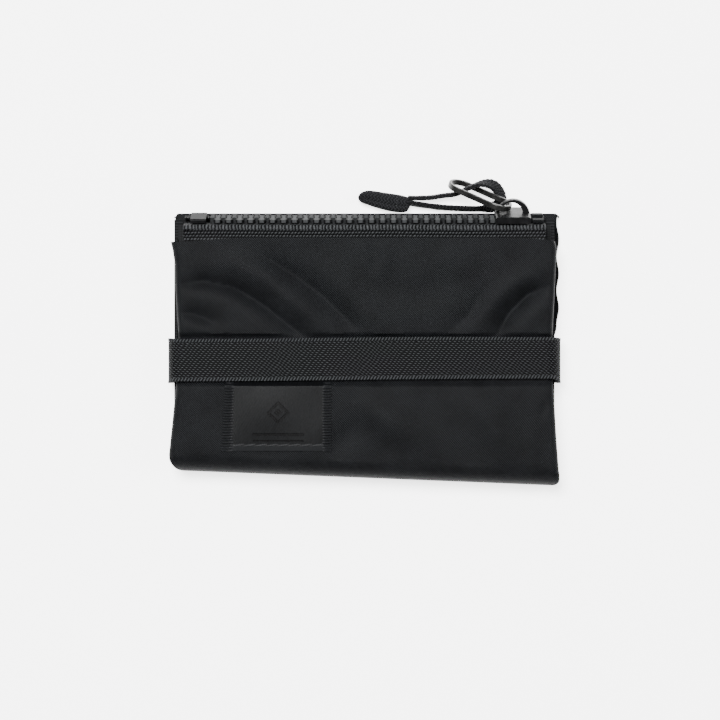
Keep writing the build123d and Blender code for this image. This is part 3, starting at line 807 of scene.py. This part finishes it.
def outer_cloth():
    """One sheet from the hem round the fold to the rear leaf's top edge, turned in along its sides."""
    columns = np.linspace(-1, 1, 221)
    columns = np.sign(columns) * (1 - (1 - np.abs(columns)) ** 1.12)
    profile = outer_profile()
    grid = np.zeros((len(profile), len(columns), 3))
    uv = np.zeros((len(profile), len(columns), 2))
    down = 0.0
    last = None
    for i, (y, z, in_y, in_z, front, back) in enumerate(profile):
        base = np.array([y, TOP if z is None else z])
        down += 0 if last is None else float(np.linalg.norm(base - last))
        last = base
        left = front * edge_line(y, LEFT_EDGE)
        right = front * edge_line(y, RIGHT_EDGE)
        fold_flare = 1.0 * (1 - smooth(y, FOLD_Y, FOLD_Y + 14))
        rear_left = rear_high[0] - 0.2 + 0.15 * math.sin(y * 0.9) + fold_flare
        pucker = (1.2 + 0.35 * math.sin(y * 0.62 + 1.0)) * smooth(y, BAND_HIGH, BAND_HIGH + 4)
        rear_right = rear_high[0] + fold_flare + pucker
        under = float(band_dip(y, FRONT_SHIFT * front))
        wall = (FRONT_SIDE - DIP * under) * front + (REAR_SIDE - DIP * under) * back
        wall += FOLD_SIDE * (1 - front - back)
        radius = FRONT_ROUND * front + REAR_ROUND * (1 - front)
        left += (1 - front) * rear_left - corner_turn(y, LEFT_CORNER) * (1 - back)
        right += (1 - front) * rear_right - corner_turn(y, RIGHT_CORNER) * (1 - back)
        for side, width in ((-1, left), (1, right)):
            pick = columns < 0 if side < 0 else columns >= 0
            out, depth, at = edge_walk(np.abs(columns[pick]), width, radius, wall)
            x = side * out
            if z is None:
                top = face_height(x, np.full_like(x, y))
            else:
                swell = 0.25 * np.sin(x * 0.19 + y * 0.11) * (1 - back) * (in_y > 0.3)
                top = z + back * DIP * band_dip(np.full_like(x, y)) - swell * 0.3
            grid[i, pick, 0] = x
            shift = edge_shift(x, y) if front > 0.99 or back < 0.5 and y < 0 else bottom_slope(x, y)
            grid[i, pick, 1] = y + in_y * depth + shift
            grid[i, pick, 2] = top + in_z * depth
            uv[i, pick, 0] = side * at
            uv[i, pick, 1] = -down
    cloth = sheet_object("outer_cloth", grid, CLOTH, uv, LOOKS["shell_cloth"])
    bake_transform(cloth)
    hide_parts("shell_front", "shell_fold", "shell_back")
    return cloth


outer_cloth()


# ---------------------------------------------------------------- elastic band
def band_section():
    """The band's outer line in X and Z, once round both leaves, with the way out at each point."""
    half = band_high[0]
    top = band_high[2] + 0.12
    line = []
    corners = ((half, 0, 1.6, -90), (half, top, 4.0, 0), (-half, top, 4.0, 90), (-half, 0, 1.6, 180))
    for cx, cz, radius, start in corners:
        mid_x = cx - math.copysign(radius, cx)
        mid_z = cz + (radius if cz < 1 else -radius)
        for angle in np.radians(np.linspace(start, start + 90, 12)):
            line.append((mid_x + radius * math.cos(angle), mid_z + radius * math.sin(angle)))
    line = np.array(line)
    run = arc_lengths(np.concatenate([line, line[:1]]))
    closed = np.concatenate([line, line[:1]])
    at = np.linspace(0, run[-1], 480, endpoint=False)
    return np.stack([np.interp(at, run, closed[:, 0]), np.interp(at, run, closed[:, 1])], axis=1), at


def elastic_band():
    """Woven elastic, slightly dished between raised selvages, lying along the cloth it squeezes."""
    line, run = band_section()
    step = np.roll(line, -1, axis=0) - np.roll(line, 1, axis=0)
    out = np.stack([step[:, 1], -step[:, 0]], axis=1)
    out /= np.linalg.norm(out, axis=1, keepdims=True)
    half = (BAND_HIGH - BAND_LOW) / 2
    middle = (BAND_HIGH + BAND_LOW) / 2
    across = np.concatenate([np.linspace(-1, 1, 26), [1.0], np.linspace(1, -1, 10), [-1.0]])
    depth = np.concatenate([np.zeros(26), [0.5], np.ones(10), [0.5]])
    plump = 1 - np.abs(across) ** 10 * 0.35
    rings = np.zeros((len(line), len(across), 3))
    uv = np.zeros((len(line), len(across), 2))
    on_front = smooth(line[:, 1], band_high[2] - 2.5, band_high[2])
    tilt = -0.006 * line[:, 0] * on_front
    drift = (FRONT_SHIFT + 0.12 * np.sin(line[:, 0] * 0.055 + 0.6)) * on_front
    narrow = 1 - (0.065 + 0.02 * smooth(line[:, 0], 10, 55)) * on_front
    selvage = 0.10 * smooth(np.abs(across), 0.86, 0.92) * (depth == 0)
    for k, (a, d) in enumerate(zip(across, depth)):
        lift = -d * BAND_THICK * plump[k] + selvage[k] - 0.06 * (1 - plump[k])
        ripple = 0.07 * np.sin(2 * np.pi * run / 0.92) * (abs(a) > 0.9) * (d == 0)
        offset = lift + ripple * on_front
        rings[:, k, 0] = line[:, 0] + out[:, 0] * offset
        rings[:, k, 2] = np.maximum(line[:, 1] + out[:, 1] * offset, 0.02)
        rings[:, k, 1] = middle + drift - tilt + a * half * narrow
        uv[:, k, 0] = run
        uv[:, k, 1] = a * half
    band = tube_object("band_webbing", rings, uv, LOOKS["elastic"], closed=True)
    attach(band, "rear_leaf")
    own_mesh(band)
    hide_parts("elastic_band")
    return band


elastic_band()


# ---------------------------------------------------------------- label and its stitches
def label_piece():
    """Woven label: flat satin between two ribbed selvages, its lower end turned under."""
    x = np.linspace(label_low[0], label_high[0], 90)
    y = np.linspace(label_low[1], label_high[1] + 1.4, 240)
    xx, yy = np.meshgrid(x, y, indexing="ij")
    centre = (label_low + label_high) / 2
    lean = (yy - label_high[1]) * 0.06 * (1 - smooth(xx, label_low[0] + 1.2, label_low[0] + 3.4))
    inset = np.minimum(xx - label_low[0], label_high[0] - xx)
    ribs = smooth(-np.abs(inset - 1.2), -1.15, -0.75)
    hem = 1 - smooth(yy, label_low[1] + 1.4, label_low[1] + 1.9)
    z = face_height(xx, yy) + 0.38 + 0.10 * hem
    z += ribs * (0.12 + 0.13 * np.cos(2 * np.pi * (yy - centre[1] - 1.6) / 0.8))
    grid = np.stack([xx + lean, yy, z], axis=2)
    uv = np.stack([xx - centre[0], yy - centre[1] - 1.6], axis=2)
    piece = sheet_object("woven_label", grid, LABEL_THICK, uv, LOOKS["label_satin"])
    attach(piece, "front_leaf")
    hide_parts("label")
    return piece


def label_thread():
    """The slanting stitches along the label's lower hem."""
    stitch_y = label_low[1] + 1.75
    spans = []
    for start in np.linspace(label_low[0] + 2.7, label_high[0] - 5.4, 8):
        ends = []
        for x, dy in ((start, -0.22), (start + 2.9, 0.22)):
            height = float(face_height(np.array([x]), np.array([stitch_y]))[0]) + 0.46
            ends.append((x, stitch_y + dy, height))
        spans.append(ends)
    return stitch_row("label_thread", spans, LABEL_STITCH, 0.16, "front_leaf", "label_stitches")


label_piece()
label_thread()


# ---------------------------------------------------------------- zip tape
def tape_piece():
    """The front zip tape: corded ribs beside the teeth, then a dotted weave, tucked under the hem."""
    route = np.array([(35.6, 10.6), (35.25, 11.3), (34.95, 11.85), (34.45, 12.2), (33.85, 12.3),
                      (33.2, 12.25), (32.4, 11.98), (31.6, 11.62), (30.6, 11.5), (25.6, 11.5)])
    run = arc_lengths(route)
    at = np.linspace(0, run[-1], 56)
    section = np.stack([np.interp(at, run, route[:, k]) for k in (0, 1)], axis=1)
    for _ in range(3):
        section[1:-1] = (section[:-2] + 2 * section[1:-1] + section[2:]) / 4
    x = np.linspace(tape_low[0], tape_high[0], 590)
    zone = smooth(at, 1.0, 1.5) * (1 - smooth(at, 2.9, 3.3))
    weave = smooth(at, 3.1, 3.5)
    rib = np.abs(np.sin(np.pi * x / 0.98 + 0.4 * np.sin(x * 0.7)))[:, None] ** 0.8 * zone[None, :] * 0.30
    dots = (np.sin(2 * np.pi * x / 0.66)[:, None] * np.sin(2 * np.pi * at / 0.7)[None, :]) * 0.07
    lift = rib + dots * weave[None, :]
    sag = 0.12 * np.sin(x * 0.13 + 0.8)[:, None] * np.ones_like(at)[None, :]
    curl = 1.6 * smooth(-x, -tape_low[0] - 3.5, -tape_low[0])[:, None] * (1 - zone)[None, :] ** 0.5
    grid = np.zeros((len(x), len(at), 3))
    grid[:, :, 0] = x[:, None]
    grid[:, :, 1] = section[None, :, 0] + sag * 0.4 * (at > 1.2)
    grid[:, :, 2] = section[None, :, 1] + lift - curl * 0.5
    uv = np.stack(np.broadcast_arrays(x[:, None], at[None, :]), axis=2)
    piece = sheet_object("zip_tape_weave", grid, TAPE_THICK, uv, LOOKS["zip_tape"], flip=True)
    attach(piece, "front_leaf")
    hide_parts("zip_tape_front")
    return piece


tape_piece()
